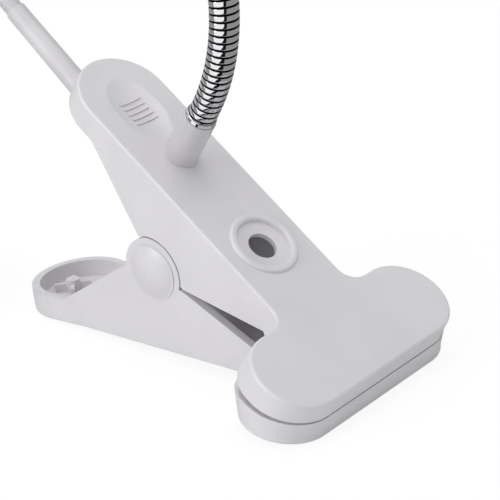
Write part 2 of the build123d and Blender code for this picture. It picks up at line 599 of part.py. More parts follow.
head_shell = bell(0, HEAD_LENGTH) - bell(HEAD_WALL, HEAD_LENGTH + 1)
ledge = Pos(0, 0, sink_at - SINK_LEDGE[0]) * ring(HEAD_RADIUS, sink_radius - SINK_LEDGE[1], SINK_LEDGE[0])
head_shell += ledge & bell(HEAD_WALL / 2, HEAD_LENGTH)
post = Pos(0, 0, HEAD_WALL / 2) * Cylinder(
    POST_RADIUS, DRIVER_AT - HEAD_WALL / 2, align=(Align.CENTER, Align.CENTER, Align.MIN)
)
screw_hole = Pos(0, 0, DRIVER_AT) * Cylinder(SCREW_RADIUS, 2 * SCREW_LENGTH)
for shape in around(3, POST_CIRCLE, 60, post):
    head_shell += shape
for shape in around(3, POST_CIRCLE, 60, screw_hole):
    head_shell -= shape
head_shell -= Cylinder(TIP_RADIUS + SNUG_FIT, 3 * HEAD_WALL)
head_shell -= Pos(BUTTON_AT, 0, 0) * Cylinder(BUTTON_RADIUS + BUTTON_FIT, 3 * HEAD_WALL)

driver_board = Pos(0, 0, DRIVER_AT) * ring(DRIVER_RADIUS, NECK_BORE, BOARD_THICK)
for shape in around(3, POST_CIRCLE, 60, screw_hole):
    driver_board -= shape

sink_top = sink_at + SINK_THICK
heat_sink = Pos(0, 0, sink_at) * extrude(Circle(sink_radius), amount=SINK_THICK)
fin_inner = FIN_REACH[0]
fin_outer = sink_radius - FIN_REACH[1]
fin = Pos(0, 0, sink_at - FIN_HEIGHT / 2) * Box(fin_outer - fin_inner, FIN_THICK, FIN_HEIGHT + 0.2)
for shape in around(FIN_COUNT, (fin_inner + fin_outer) / 2, 0, fin):
    heat_sink += shape
board_top = sink_top + BOARD_THICK
led_screw_hole = Pos(0, 0, board_top) * Cylinder(SCREW_RADIUS, 2 * SCREW_LENGTH)
led_board = Pos(0, 0, sink_top) * extrude(Circle(board_radius), amount=BOARD_THICK)
for shape in around(3, led_screw_circle, 30, led_screw_hole):
    heat_sink -= shape
    led_board -= shape
led = Pos(0, 0, board_top + LED_SIZE[1] / 2) * Box(LED_SIZE[0], LED_SIZE[0], LED_SIZE[1])
leds = Compound(around(LED_COUNT, led_circle, 0, led))

screw = extrude(Circle(screw_head), amount=screw_head_height)
screw += Pos(0, 0, -SCREW_LENGTH) * extrude(Circle(SCREW_RADIUS), amount=SCREW_LENGTH)
driver_screws = around(3, POST_CIRCLE, 60, Pos(0, 0, DRIVER_AT + BOARD_THICK) * screw)
board_screws = Compound(driver_screws + around(3, led_screw_circle, 30, Pos(0, 0, board_top) * screw))

bore_radius = shell_bore - PART_FIT
reflector = turned([
    (reflector_foot, board_top), (reflector_foot + REFLECTOR_WALL, board_top),
    (bore_radius, lens_at - REFLECTOR_RIM), (bore_radius, lens_at),
    (bore_radius - REFLECTOR_WALL, lens_at),
])
diffuser = Pos(0, 0, lens_at) * extrude(Circle(bore_radius), amount=LENS_THICK)
ring_foot = lens_at + LENS_THICK
lens_ring = turned([
    (ring_bore, ring_foot), (bore_radius, ring_foot), (bore_radius, HEAD_LENGTH),
    (HEAD_RADIUS, HEAD_LENGTH), (HEAD_RADIUS, HEAD_LENGTH + LENS_RING_LIP),
    (ring_bore + 1, HEAD_LENGTH + LENS_RING_LIP), (ring_bore, HEAD_LENGTH),
])

button_flange, button_flange_thick = BUTTON_FLANGE
flange_from = HEAD_WALL + BUTTON_FIT
flange_to = flange_from + button_flange_thick
switch_button = Pos(BUTTON_AT, 0, 0) * turned([
    (0, -BUTTON_RISE), (BUTTON_RADIUS - 0.6, -BUTTON_RISE), (BUTTON_RADIUS, 0.6 - BUTTON_RISE),
    (BUTTON_RADIUS, flange_from), (button_flange, flange_from), (button_flange, flange_to),
    (STEM_RADIUS, flange_to), (STEM_RADIUS, flange_to + STEM_LENGTH), (0, flange_to + STEM_LENGTH),
])
switch_back = flange_to + BUTTON_TRAVEL + SWITCH_GAP
switch_well = flange_to + STEM_LENGTH + BUTTON_TRAVEL + SWITCH_GAP
switch_body = Pos(BUTTON_AT, 0, (switch_back + DRIVER_AT) / 2) * Box(
    SWITCH_SIZE, SWITCH_SIZE, DRIVER_AT - switch_back
)
switch_body -= Pos(BUTTON_AT, 0, switch_well - SWITCH_SIZE / 2) * Cylinder(
    STEM_RADIUS + SWITCH_GAP, SWITCH_SIZE
)

head_core = Pos(0, 0, HEAD_WALL) * extrude(Circle(CORE_RADIUS), amount=DRIVER_AT - HEAD_WALL)
head_wires = Compound([Pos(0, y, 0) * head_core for y in (-CORE_SPACING / 2, CORE_SPACING / 2)])

# ---- cord ----
sleeve_end = (sleeve_at * Pos(0, 0, sleeve_length)).position
route = [sleeve_end] + [Vector(*point) for point in CORD_ROUTE]


def corner_radius(before, corner, after):
    """Largest tidy radius at a corner of the cord's route."""
    first = corner - before
    second = after - corner
    return 0.45 * min(first.length, second.length) / tand(first.get_angle(second) / 2)


radii = [corner_radius(*route[index : index + 3]) for index in range(len(route) - 2)]
cord_path = FilletPolyline(route, radius=radii)
cord_tube = sweep(Plane(origin=cord_path @ 0, z_dir=cord_path % 0) * Circle(CORD_RADIUS), cord_path)
print("cord radii", [round(radius, 1) for radius in radii])
print("cord tube", cord_tube.volume, math.pi * CORD_RADIUS**2 * cord_path.length)

coil_at = Pos(route[-1].X + COIL_JOIN, route[-1].Y - COIL_LEAD, 0)
cord_coil = coil_at * ring(COIL_RADII[1], COIL_RADII[0], 2 * CORD_RADIUS * COIL_LAYERS)
plug_length, plug_width, plug_thick = PLUG_SIZE
nose_length, nose_wide, nose_tip = PLUG_NOSE
exit_side, exit_start = PLUG_EXIT
plug_at = coil_at * Pos(PLUG_TAIL, -exit_side, plug_thick / 2) * Rot(0, 90, 0)
last_run = Vector(PLUG_TAIL - exit_start, 0, plug_thick / 2 - CORD_RADIUS)
last_start = coil_at * Pos(exit_start, -exit_side, CORD_RADIUS)
last_plane = Plane(origin=last_start.position, z_dir=last_run)
cord_end = last_plane * extrude(Circle(CORD_RADIUS), amount=last_run.length)
plug_body = Pos(0, 0, nose_length) * extrude(
    RectangleRounded(plug_thick, plug_width, PLUG_ROUND), amount=plug_length
)
plug_body += turned([(0, 0), (nose_tip, 0), (nose_wide, nose_length), (0, nose_length)])
shell_length, shell_width, shell_thick = SHELL_SIZE
shell_from = nose_length + plug_length - SHELL_SINK
shell_room = extrude(Rectangle(shell_thick, shell_width), amount=shell_length + SHELL_SINK)
shell_hollow = extrude(
    Rectangle(shell_thick - 2 * SHELL_WALL, shell_width - 2 * SHELL_WALL), amount=2 * shell_length
)
plug_body -= Pos(0, 0, shell_from) * shell_room
plug_shell = Pos(0, 0, shell_from) * (shell_room - Pos(0, 0, SHELL_WALL) * shell_hollow)
tongue_height = -shell_thick / 2 + SHELL_WALL + TONGUE_THICK / 2
plug_tongue = Pos(tongue_height, 0, shell_from + SHELL_WALL) * extrude(
    Rectangle(TONGUE_THICK, shell_width - 2 * SHELL_WALL - 2 * PART_FIT),
    amount=shell_length + SHELL_SINK - 1,
)

# ---- one file per piece ----
pieces = {
    "upper_arm": upper_arm,
    "lower_arm": lower_arm,
    "upper_jaw_liner": upper_liner,
    "lower_jaw_liner": lower_liner,
    "pivot_pin": pivot_pin,
    "pivot_cap_near": pivot_cap_near,
    "pivot_cap_far": pivot_cap_far,
    "jaw_spring": jaw_spring,
    "neck_collar": neck_collar,
    "neck_ferrule": neck_ferrule,
    "neck_foot": neck_foot,
    "neck_nut": neck_nut,
    "strain_relief": strain_relief,
    "clip_wires": clip_wires,
    "cord_tube": cord_tube,
    "cord_coil": cord_coil,
    "cord_end": cord_end,
    "plug_body": plug_at * plug_body,
    "plug_shell": plug_at * plug_shell,
    "plug_tongue": plug_at * plug_tongue,
}
for index, link in enumerate(neck_links):
    pieces[f"neck_link_{index}"] = link
head_pieces = {
    "neck_tip": neck_tip,
    "head_nut": head_nut,
    "head_shell": head_shell,
    "head_wires": head_wires,
    "driver_board": driver_board,
    "switch_body": switch_body,
    "switch_button": switch_button,
    "heat_sink": heat_sink,
    "led_board": led_board,
    "leds": leds,
    "board_screws": board_screws,
    "reflector": reflector,
    "diffuser": diffuser,
    "lens_ring": lens_ring,
}
for name, piece in head_pieces.items():
    pieces[name] = head_at * piece

os.makedirs("parts", exist_ok=True)
for name, piece in pieces.items():
    export_step(piece, f"parts/{name}.step")
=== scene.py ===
import json
import math
import bpy
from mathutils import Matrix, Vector


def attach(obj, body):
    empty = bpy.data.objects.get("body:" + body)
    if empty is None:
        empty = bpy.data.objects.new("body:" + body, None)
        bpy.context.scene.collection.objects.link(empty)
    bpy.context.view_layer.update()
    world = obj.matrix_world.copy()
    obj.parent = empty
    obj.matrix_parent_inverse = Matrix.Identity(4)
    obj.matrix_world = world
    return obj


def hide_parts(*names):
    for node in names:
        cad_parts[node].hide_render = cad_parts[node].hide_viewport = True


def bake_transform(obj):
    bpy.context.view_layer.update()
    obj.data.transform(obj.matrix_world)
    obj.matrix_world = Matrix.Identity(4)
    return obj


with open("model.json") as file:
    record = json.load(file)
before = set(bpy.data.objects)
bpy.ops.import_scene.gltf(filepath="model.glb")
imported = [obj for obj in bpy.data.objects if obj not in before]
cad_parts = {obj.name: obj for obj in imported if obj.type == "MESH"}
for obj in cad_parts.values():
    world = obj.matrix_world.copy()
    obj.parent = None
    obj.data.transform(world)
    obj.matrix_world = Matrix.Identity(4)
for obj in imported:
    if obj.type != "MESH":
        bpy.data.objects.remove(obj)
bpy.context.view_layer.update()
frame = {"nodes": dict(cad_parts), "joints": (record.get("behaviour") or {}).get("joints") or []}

# ---- The two arms of the clip ----
# Each arm is one shell of white ABS, injection moulded in a spark-eroded steel tool. The tool
# leaves a fine even grain on the skin, so the plastic is satin rather than glossy, and its
# colour drifts a little where the melt flowed thick or thin.
MM = 0.001
ABS_TOP = "#DEDCDF"
ABS_DEEP = "#DAD8DB"
ABS_GRAIN = 0.25 * MM       # the eroded grain is nearer 0.05 mm, drawn coarse enough to show
ABS_FLOW = 14 * MM          # width of a patch where the melt flowed evenly
ROUGHNESS_SPREAD = 0.05     # how far the grain moves the roughness, each way

nodes = frame["nodes"]


def linear(code):
    """sRGB hex value as a linear colour."""
    parts = [int(code[i : i + 2], 16) / 255 for i in (1, 3, 5)]
    parts = [p / 12.92 if p <= 0.04045 else ((p + 0.055) / 1.055) ** 2.4 for p in parts]
    return (*parts, 1.0)


def add_node(tree, kind, inputs={}, **settings):
    """Adds a shader node. A value given for an input is either a socket to link or a constant."""
    made = tree.nodes.new(kind)
    for name, value in settings.items():
        setattr(made, name, value)
    for name, value in inputs.items():
        if isinstance(value, bpy.types.NodeSocket):
            tree.links.new(value, made.inputs[name])
        else:
            made.inputs[name].default_value = value
    return made


def new_material(name, **uniform):
    """Material with a Principled shader whose sockets hold the given uniform values."""
    made = bpy.data.materials.new(name)
    made.use_nodes = True
    shader = made.node_tree.nodes["Principled BSDF"]
    for socket, value in uniform.items():
        shader.inputs[socket.replace("_", " ")].default_value = value
    return made, made.node_tree, shader


def finish_node(names, material):
    """Gives CAD nodes a material in place of their plain one."""
    for name in names:
        for slot in nodes[name].material_slots:
            slot.material = material


def moulded(name, light, deep, grain, flow, depth, rough):
    """Moulded plastic: colour that drifts slowly, and a fine raised grain."""
    made, tree, shader = new_material(name, Roughness=rough)
    place = add_node(tree, "ShaderNodeTexCoord").outputs["Object"]
    drift = add_node(
        tree, "ShaderNodeTexNoise", {"Vector": place, "Scale": 1 / flow, "Detail": 3.0}
    )
    ramp = add_node(tree, "ShaderNodeValToRGB", {"Fac": drift.outputs["Fac"]})
    ramp.color_ramp.elements[0].position = 0.35
    ramp.color_ramp.elements[0].color = linear(deep)
    ramp.color_ramp.elements[1].position = 0.65
    ramp.color_ramp.elements[1].color = linear(light)
    tree.links.new(ramp.outputs["Color"], shader.inputs["Base Color"])
    erosion = add_node(
        tree, "ShaderNodeTexNoise", {"Vector": place, "Scale": 1 / grain, "Detail": 2.0}
    )
    bump = add_node(
        tree,
        "ShaderNodeBump",
        {"Height": erosion.outputs["Fac"], "Distance": depth, "Strength": 1.0},
    )
    tree.links.new(bump.outputs["Normal"], shader.inputs["Normal"])
    spread = add_node(
        tree,
        "ShaderNodeMapRange",
        {
            "Value": erosion.outputs["Fac"],
            "To Min": rough - ROUGHNESS_SPREAD,
            "To Max": rough + ROUGHNESS_SPREAD,
        },
    )
    tree.links.new(spread.outputs["Result"], shader.inputs["Roughness"])
    return made


arm_abs = moulded(
    "satin_moulded_abs", ABS_TOP, ABS_DEEP, ABS_GRAIN, ABS_FLOW, 0.004 * MM, 0.38
)
finish_node(["upper_arm", "lower_arm"], arm_abs)

# ---- Jaw liners ----
# Soft rubber pads, moulded and pressed into the jaw plates. Matt, with a dusty bloom.
liner_rubber = moulded(
    "matt_moulded_rubber", "#3A3A3C", "#2C2C2E", 0.4 * MM, 8 * MM, 0.01 * MM, 0.8
)
finish_node(["upper_jaw_liner", "lower_jaw_liner"], liner_rubber)

# ---- Pivot: pin and caps ----
# A turned steel pin through both arms, hidden by two domed caps of the same ABS as the arms.
# The caps' tool was polished, so they are a little glossier. The pin's turning marks blur what
# it mirrors.
STEEL_SPREAD = 0.08         # how far the marks move the roughness, each way

cap_abs = moulded(
    "polished_moulded_abs", "#DCDADD", "#D6D4D7", ABS_GRAIN, ABS_FLOW, 0.001 * MM, 0.3
)
finish_node(["pivot_cap_near", "pivot_cap_far"], cap_abs)


def turned_steel(name, colour, step, rough):
    """Turned or drawn steel: fine marks with slightly uneven roughness."""
    made, tree, shader = new_material(
        name, Metallic=1.0, Base_Color=linear(colour), Roughness=rough
    )
    place = add_node(tree, "ShaderNodeTexCoord").outputs["Object"]
    marks = add_node(
        tree, "ShaderNodeTexNoise", {"Vector": place, "Scale": 1 / step, "Detail": 4.0}
    )
    spread = add_node(
        tree,
        "ShaderNodeMapRange",
        {
            "Value": marks.outputs["Fac"],
            "To Min": rough - STEEL_SPREAD,
            "To Max": rough + STEEL_SPREAD,
        },
    )
    tree.links.new(spread.outputs["Result"], shader.inputs["Roughness"])
    bump = add_node(
        tree,
        "ShaderNodeBump",
        {"Height": marks.outputs["Fac"], "Distance": 0.004 * MM, "Strength": 0.5},
    )
    tree.links.new(bump.outputs["Normal"], shader.inputs["Normal"])
    return made


plain_steel = turned_steel("turned_steel", "#B9B9BC", 0.4 * MM, 0.3)
finish_node(["pivot_pin", "neck_nut", "head_nut", "board_screws"], plain_steel)

# ---- Torsion spring ----
# Drawn spring wire, coiled cold round the pin and left bright under a trace of oil. In the clip
# its first leg stays with the upper arm, its last leg turns with the lower arm, and the coil
# winds up between; here it is built as one mesh, in a single shape, and not attached to either
# arm.
SPRING_RADIUS = 4.4 * MM    # to the wire's centre
SPRING_WIRE = 0.85 * MM
SPRING_WIDTH = 12.8 * MM    # first to last turn, along Y
SPRING_START = math.radians(163.486)    # where the first leg joins the coil
SPRING_TURN = math.radians(360 * 6.93846)
FIRST_LEG_TIP = (2.255 * MM, 23.085 * MM)   # from the pin, X and Z
LAST_LEG_TIP = (-21.245 * MM, -19.505 * MM)
SPRING_STEPS = 168          # rings of the coil
WIRE_SIDES = 12
SMOOTH_ANGLE = math.radians(60)

pin = next(Vector(joint["pos_m"]) for joint in frame["joints"] if joint["name"] == "jaw_hinge")
bpy.ops.object.select_all(action="DESELECT")
bpy.ops.mesh.primitive_circle_add(
    vertices=WIRE_SIDES,
    radius=SPRING_WIRE,
    location=(
        SPRING_RADIUS * math.cos(SPRING_START),
        SPRING_RADIUS * math.sin(SPRING_START),
        -SPRING_WIDTH / 2,
    ),
    rotation=(math.radians(90), 0, SPRING_START),
)
torsion_spring = bpy.context.object
torsion_spring.name = "jaw_torsion_spring"
bpy.ops.object.transform_apply(location=True, rotation=True)
coil = torsion_spring.modifiers.new("coil", "SCREW")
coil.angle = SPRING_TURN
coil.screw_offset = SPRING_WIDTH
coil.steps = SPRING_STEPS
coil.render_steps = SPRING_STEPS
bpy.ops.object.modifier_apply(modifier="coil")
torsion_spring.rotation_euler.x = math.radians(90)
torsion_spring.location = pin
bpy.ops.object.transform_apply(location=True, rotation=True)
for side, angle, tip in (
    (1, SPRING_START, FIRST_LEG_TIP),
    (-1, SPRING_START + SPRING_TURN, LAST_LEG_TIP),
):
    coil_end = Vector((
        SPRING_RADIUS * math.cos(angle),
        side * SPRING_WIDTH / 2,
        SPRING_RADIUS * math.sin(angle),
    ))
    bpy.ops.object.mode_set(mode="EDIT")
    bpy.ops.mesh.select_all(action="DESELECT")
    bpy.ops.object.mode_set(mode="OBJECT")
    for vertex in torsion_spring.data.vertices:
        vertex.select = (vertex.co - pin - coil_end).length < 1.05 * SPRING_WIRE
    leg = Vector((tip[0], coil_end.y, tip[1])) - coil_end
    bpy.ops.object.mode_set(mode="EDIT")
    bpy.ops.mesh.extrude_edges_move(TRANSFORM_OT_translate={"value": leg})
    bpy.ops.object.mode_set(mode="OBJECT")
bpy.ops.object.mode_set(mode="EDIT")
bpy.ops.mesh.select_all(action="SELECT")
bpy.ops.mesh.fill_holes(sides=0)
bpy.ops.mesh.select_all(action="SELECT")
bpy.ops.mesh.normals_make_consistent(inside=False)
bpy.ops.object.mode_set(mode="OBJECT")
bpy.ops.object.shade_smooth_by_angle(angle=SMOOTH_ANGLE)
torsion_spring.data.name = "jaw_torsion_spring"
torsion_spring.data.materials.append(turned_steel("drawn_spring_wire", "#8F8F92", 0.6 * MM, 0.26))
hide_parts("jaw_spring")
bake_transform(torsion_spring)

# ---- Collar of the neck ----
# A tapered collar around the foot of the neck, moulded in a slightly greyer ABS and pressed onto
# the arm. Its tool was nearly polished, so it has a soft sheen.
collar_abs = moulded(
    "grey_satin_abs", "#CDCBCE", "#C5C3C6", ABS_GRAIN, ABS_FLOW, 0.002 * MM, 0.22
)
finish_node(["neck_collar"], collar_abs)

# ---- Flexible neck ----
# A gooseneck: chromed steel strip wound into a hose, whose turns stand out as rounded ribs with a
# groove between them; the groove's darkness is painted shade. A straight length is spun up from
# the strip's profile like a screw thread. Each joint has a copy of it, cut flat halfway to its
# neighbours and bent along the neck.
LINK_LENGTH = 34.0 * MM
RIB_PITCH = LINK_LENGTH / 20
RIB_PROFILE = [             # radius and height from one groove to the next
    (3.05, 0.0), (3.3, 0.12), (3.5, 0.18), (3.57, 0.27), (3.592, 0.45), (3.6, 0.85),
    (3.592, 1.25), (3.57, 1.43), (3.5, 1.52), (3.3, 1.58), (3.05, 1.7),
]
GROOVE_RADIUS = 3.53        # faces nearer the axis are dark: painted shade in the grooves
RIB_STEPS = 48
HOSE_TURNS = 22             # enough for one link and the cuts at both of its ends
LINK_TURNS = (-38.0, -20.0, -6.0, 24.0, 40.0, 40.0, 38.0, 30.0)     # degrees bent in each link
NECK_LEAN = 36.81           # heading of the neck's foot, from upright towards +X
FOOT_RUN = 11.5 * MM        # foot flange to the first joint
JOINT_NAMES = [f"neck_{'bend' if k % 2 else 'sway'}_{k}" for k in range(1, 9)]
SMEAR_WIDTH = 0.9 * MM      # handling marks, drawn coarser than they are so that they show

chrome, chrome_tree, chrome_shader = new_material(
    "bright_chrome_plate", Metallic=1.0, Base_Color=linear("#D9D9DC"), Roughness=0.05
)
place = add_node(chrome_tree, "ShaderNodeTexCoord").outputs["Object"]
smear = add_node(
    chrome_tree, "ShaderNodeTexNoise", {"Vector": place, "Scale": 1 / SMEAR_WIDTH, "Detail": 4.0}
)
smear_range = add_node(
    chrome_tree,
    "ShaderNodeMapRange",
    {"Value": smear.outputs["Fac"], "To Min": 0.03, "To Max": 0.08},
)
chrome_tree.links.new(smear_range.outputs["Result"], chrome_shader.inputs["Roughness"])
finish_node(["neck_ferrule", "neck_foot", "neck_tip"], chrome)

joints = {joint["name"]: joint for joint in frame["joints"]}
first_joint = Vector(joints[JOINT_NAMES[0]]["pos_m"])

# line of the neck, one point for each millimetre from the foot flange to the head
heading = math.radians(NECK_LEAN)
neck_line = [first_joint - FOOT_RUN * Vector((math.sin(heading), 0, math.cos(heading)))]
neck_line.append(first_joint)
for turn in LINK_TURNS:
    steps = round(LINK_LENGTH / MM)
    for index in range(steps):
        middle = heading + math.radians(turn) * (index + 0.5) / steps
        neck_line.append(neck_line[-1] + MM * Vector((math.sin(middle), 0, math.cos(middle))))
    heading += math.radians(turn)
line_data = bpy.data.curves.new("neck_line", "CURVE")
line_data.dimensions = "3D"
line_data.twist_mode = "MINIMUM"
line_spline = line_data.splines.new("POLY")
line_spline.points.add(len(neck_line) - 1)
for point, target in zip(line_spline.points, neck_line):
    point.co = (*target, 1.0)
line = bpy.data.objects.new("neck_line", line_data)
bpy.context.scene.collection.objects.link(line)

# straight ribbed length: the profile from one groove to the next, spun up as a thread
bpy.ops.object.select_all(action="DESELECT")
bpy.ops.mesh.primitive_plane_add(size=MM)
hose = bpy.context.object
hose.name = "ribbed_hose"
bpy.ops.object.mode_set(mode="EDIT")
bpy.ops.mesh.select_all(action="SELECT")
bpy.ops.mesh.merge(type="CENTER")
bpy.ops.transform.translate(value=(RIB_PROFILE[0][0] * MM, 0, 0))
for (radius, height), (next_radius, next_height) in zip(RIB_PROFILE, RIB_PROFILE[1:]):
    step = ((next_radius - radius) * MM, 0, (next_height - height) * MM)
    bpy.ops.mesh.extrude_region_move(TRANSFORM_OT_translate={"value": step})
bpy.ops.object.mode_set(mode="OBJECT")
spin = hose.modifiers.new("spin", "SCREW")
spin.screw_offset = RIB_PITCH
spin.iterations = HOSE_TURNS
spin.steps = RIB_STEPS
spin.render_steps = RIB_STEPS
bpy.ops.object.modifier_apply(modifier="spin")
bpy.ops.object.mode_set(mode="EDIT")
bpy.ops.mesh.select_all(action="SELECT")
bpy.ops.mesh.remove_doubles(threshold=0.001 * MM)
bpy.ops.mesh.normals_make_consistent(inside=False)
bpy.ops.object.mode_set(mode="OBJECT")
# Near-black metal for the groove flanks: painted shade standing in for the grooves' self-shadow.
groove_shade, groove_shade_tree, groove_shade_shader = new_material(
    "painted_groove_shade", Metallic=1.0, Base_Color=linear("#1C1C1E"), Roughness=0.5
)
hose.data.materials.append(chrome)
hose.data.materials.append(groove_shade)
# faces down in the grooves take the dark painted shade
for face in hose.data.polygons:
    face.material_index = int(math.hypot(face.center.x, face.center.y) < GROOVE_RADIUS * MM)


def neck_piece(number, start, end):
    """Copy of the hose between two distances from the foot, bent along the neck."""
    made = hose.copy()
    made.data = hose.data.copy()
    made.name = made.data.name = f"neck_hose_{number}"
    bpy.context.scene.collection.objects.link(made)
    bpy.ops.object.select_all(action="DESELECT")
    made.select_set(True)
    bpy.context.view_layer.objects.active = made
    made.location.z = math.floor(start / RIB_PITCH - 1) * RIB_PITCH
    bpy.ops.object.transform_apply(location=True)
    bpy.ops.object.mode_set(mode="EDIT")
    for height, keep_above in ((start, True), (end, False)):
        bpy.ops.mesh.select_all(action="SELECT")
        bpy.ops.mesh.bisect(
            plane_co=(0, 0, height),
            plane_no=(0, 0, 1),
            clear_inner=keep_above,
            clear_outer=not keep_above,
        )
    bpy.ops.mesh.select_all(action="SELECT")
    bpy.ops.mesh.fill_holes(sides=0)
    bpy.ops.mesh.select_all(action="SELECT")
    bpy.ops.mesh.normals_make_consistent(inside=False)
    bpy.ops.object.mode_set(mode="OBJECT")
    bpy.ops.object.shade_smooth_by_angle(angle=SMOOTH_ANGLE)
    bend = made.modifiers.new("bend", "CURVE")
    bend.object = line
    bend.deform_axis = "POS_Z"
    bpy.ops.object.modifier_apply(modifier="bend")
    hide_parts(f"neck_link_{number}")
    return made


for number, joint_name in enumerate(JOINT_NAMES):
    joint_from_foot = FOOT_RUN + number * LINK_LENGTH
    start = max(0, joint_from_foot - LINK_LENGTH / 2)
    piece = neck_piece(number, start, joint_from_foot + LINK_LENGTH / 2)
    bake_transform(piece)
head_piece = neck_piece(8, joint_from_foot + LINK_LENGTH / 2, joint_from_foot + LINK_LENGTH)
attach(head_piece, "lamp_head")
for spare in (hose, line):
    bpy.data.objects.remove(spare)

# ---- Strain relief ----
# A long tapered sleeve of soft PVC, moulded over the cord and held by two flanges in a wall of
# the upper arm. Plasticiser makes it a little duller than the arm.
sleeve_pvc = moulded(
    "satin_moulded_pvc", "#D2D0D3", "#CAC8CB", 0.3 * MM, 10 * MM, 0.003 * MM, 0.42
)
finish_node(["strain_relief"], sleeve_pvc)

# ---- Power cord and its plug ----
# Round two-core lead in extruded grey PVC. It leaves the sleeve, bends down to the table, and
# what is spare lies in a neat round coil. Its flat plug, moulded in the same PVC, lies beside it.
CORD_RADIUS = 2.4 * MM
CORD_ROUTE = [
    (-97.58, 0.0, 81.03), (-109.0, 0.0, 90.65), (-124.6, 2.5, 94.9), (-141.5, 7.5, 91.8),
    (-156.5, 11.5, 81.8), (-166.0, 13.0, 66.0), (-169.0, 12.5, 47.0), (-168.8, 10.5, 28.5),
    (-168.4, 2.5, 15.0), (-168.4, -11.0, 7.2), (-168.4, -25.5, 7.2),
]
COIL_CENTRE = (-136.0, -31.5)
COIL_ENTRY = 32.4           # radius of the turn that the run joins, in the upper layer
COIL_INNER = 15.6
COIL_EXIT = 33.6            # radius of the turn that ends the coil, in the lower layer
ROW_STEP = 4.8
COIL_POINTS = 16            # for each turn
PLUG_LEAD = (26.0, -33.6, 4.0)  # coil's centre to the plug's end

turns_in = (COIL_ENTRY - COIL_INNER) / ROW_STEP
turns_out = (COIL_EXIT - COIL_INNER) / ROW_STEP
cord_points = [Vector(point) * MM for point in CORD_ROUTE]
for index in range(round((turns_in + 1 + turns_out) * COIL_POINTS) + 1):
    turn = index / COIL_POINTS
    row = max(turns_in - turn, turn - turns_in - 1, 0)
    radius = COIL_INNER + ROW_STEP * row
    layer = min(1, max(0, 1.5 * (turns_in + 0.8 - turn)))
    angle = math.radians(180 + 360 * turn)
    cord_points.append(Vector((
        COIL_CENTRE[0] + radius * math.cos(angle),
        COIL_CENTRE[1] + radius * math.sin(angle),
        2.4 + ROW_STEP * layer,
    )) * MM)
for share in (0.4, 1.0):
    cord_points.append(Vector((
        COIL_CENTRE[0] + share * PLUG_LEAD[0],
        COIL_CENTRE[1] + PLUG_LEAD[1],
        2.4 + share * (PLUG_LEAD[2] - 2.4),
    )) * MM)

cord_data = bpy.data.curves.new("power_cord", "CURVE")
cord_data.dimensions = "3D"
cord_data.bevel_depth = CORD_RADIUS
cord_data.bevel_resolution = 5
cord_data.resolution_u = 6
cord_data.use_fill_caps = True
spline = cord_data.splines.new("NURBS")
spline.points.add(len(cord_points) - 1)
for point, target in zip(spline.points, cord_points):
    point.co = (*target, 1.0)
spline.order_u = 3
spline.use_endpoint_u = True
power_cord = bpy.data.objects.new("power_cord", cord_data)
bpy.context.scene.collection.objects.link(power_cord)
cord_pvc = moulded(
    "extruded_grey_pvc", "#C6C4C9", "#BEBCC1", 0.5 * MM, 20 * MM, 0.003 * MM, 0.45
)
cord_data.materials.append(cord_pvc)
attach(power_cord, "clip_base")
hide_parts("cord_tube", "cord_coil", "cord_end")
finish_node(["plug_body"], cord_pvc)
plug_nickel = turned_steel("nickel_plated_strip", "#C4C3BF", 0.5 * MM, 0.24)
finish_node(["plug_shell"], plug_nickel)
tongue_abs = moulded(
    "white_moulded_tongue", "#F0F0F0", "#E6E6E6", 0.3 * MM, 4 * MM, 0.002 * MM, 0.4
)
finish_node(["plug_tongue"], tongue_abs)

# ---- Cores inside the clip and the head ----
# Two stranded copper cores in red PVC, soldered at both ends and glossy from the extruder.
core_pvc = moulded(
    "extruded_core_pvc", "#B5483F", "#9C3A33", 0.4 * MM, 6 * MM, 0.002 * MM, 0.35
)
finish_node(["clip_wires", "head_wires"], core_pvc)

# ---- Shell, ring and button of the lamp head ----
# The bell and its screwed ring are moulded in the same white ABS as the clip. The button is a
# softer grey one.
finish_node(["head_shell", "lens_ring"], arm_abs)
button_abs = moulded(
    "grey_moulded_button", "#A9A8AC", "#9D9CA0", ABS_GRAIN, 5 * MM, 0.003 * MM, 0.5
)
finish_node(["switch_button"], button_abs)

# ---- Diffuser and reflector ----
# The diffuser is opal acrylic, polished on the outside: light comes through it, but no shape
# does. The reflector behind it is white polycarbonate with a satin skin.
opal, opal_tree, opal_shader = new_material(
    "opal_acrylic",
    Base_Color=linear("#F1F0EC"),
    Roughness=0.2,
    Subsurface_Weight=0.6,
    Subsurface_Scale=1.5 * MM,
)
place = add_node(opal_tree, "ShaderNodeTexCoord").outputs["Object"]
haze = add_node(
    opal_tree, "ShaderNodeTexNoise", {"Vector": place, "Scale": 1 / (6 * MM), "Detail": 3.0}
)
haze_range = add_node(
    opal_tree,
    "ShaderNodeMapRange",
    {"Value": haze.outputs["Fac"], "To Min": 0.14, "To Max": 0.28},
)
opal_tree.links.new(haze_range.outputs["Result"], opal_shader.inputs["Roughness"])
finish_node(["diffuser"], opal)
reflector_pc = moulded(
    "white_polycarbonate", "#F4F4F2", "#EAEAE8", 0.4 * MM, 10 * MM, 0.002 * MM, 0.35
)
finish_node(["reflector"], reflector_pc)

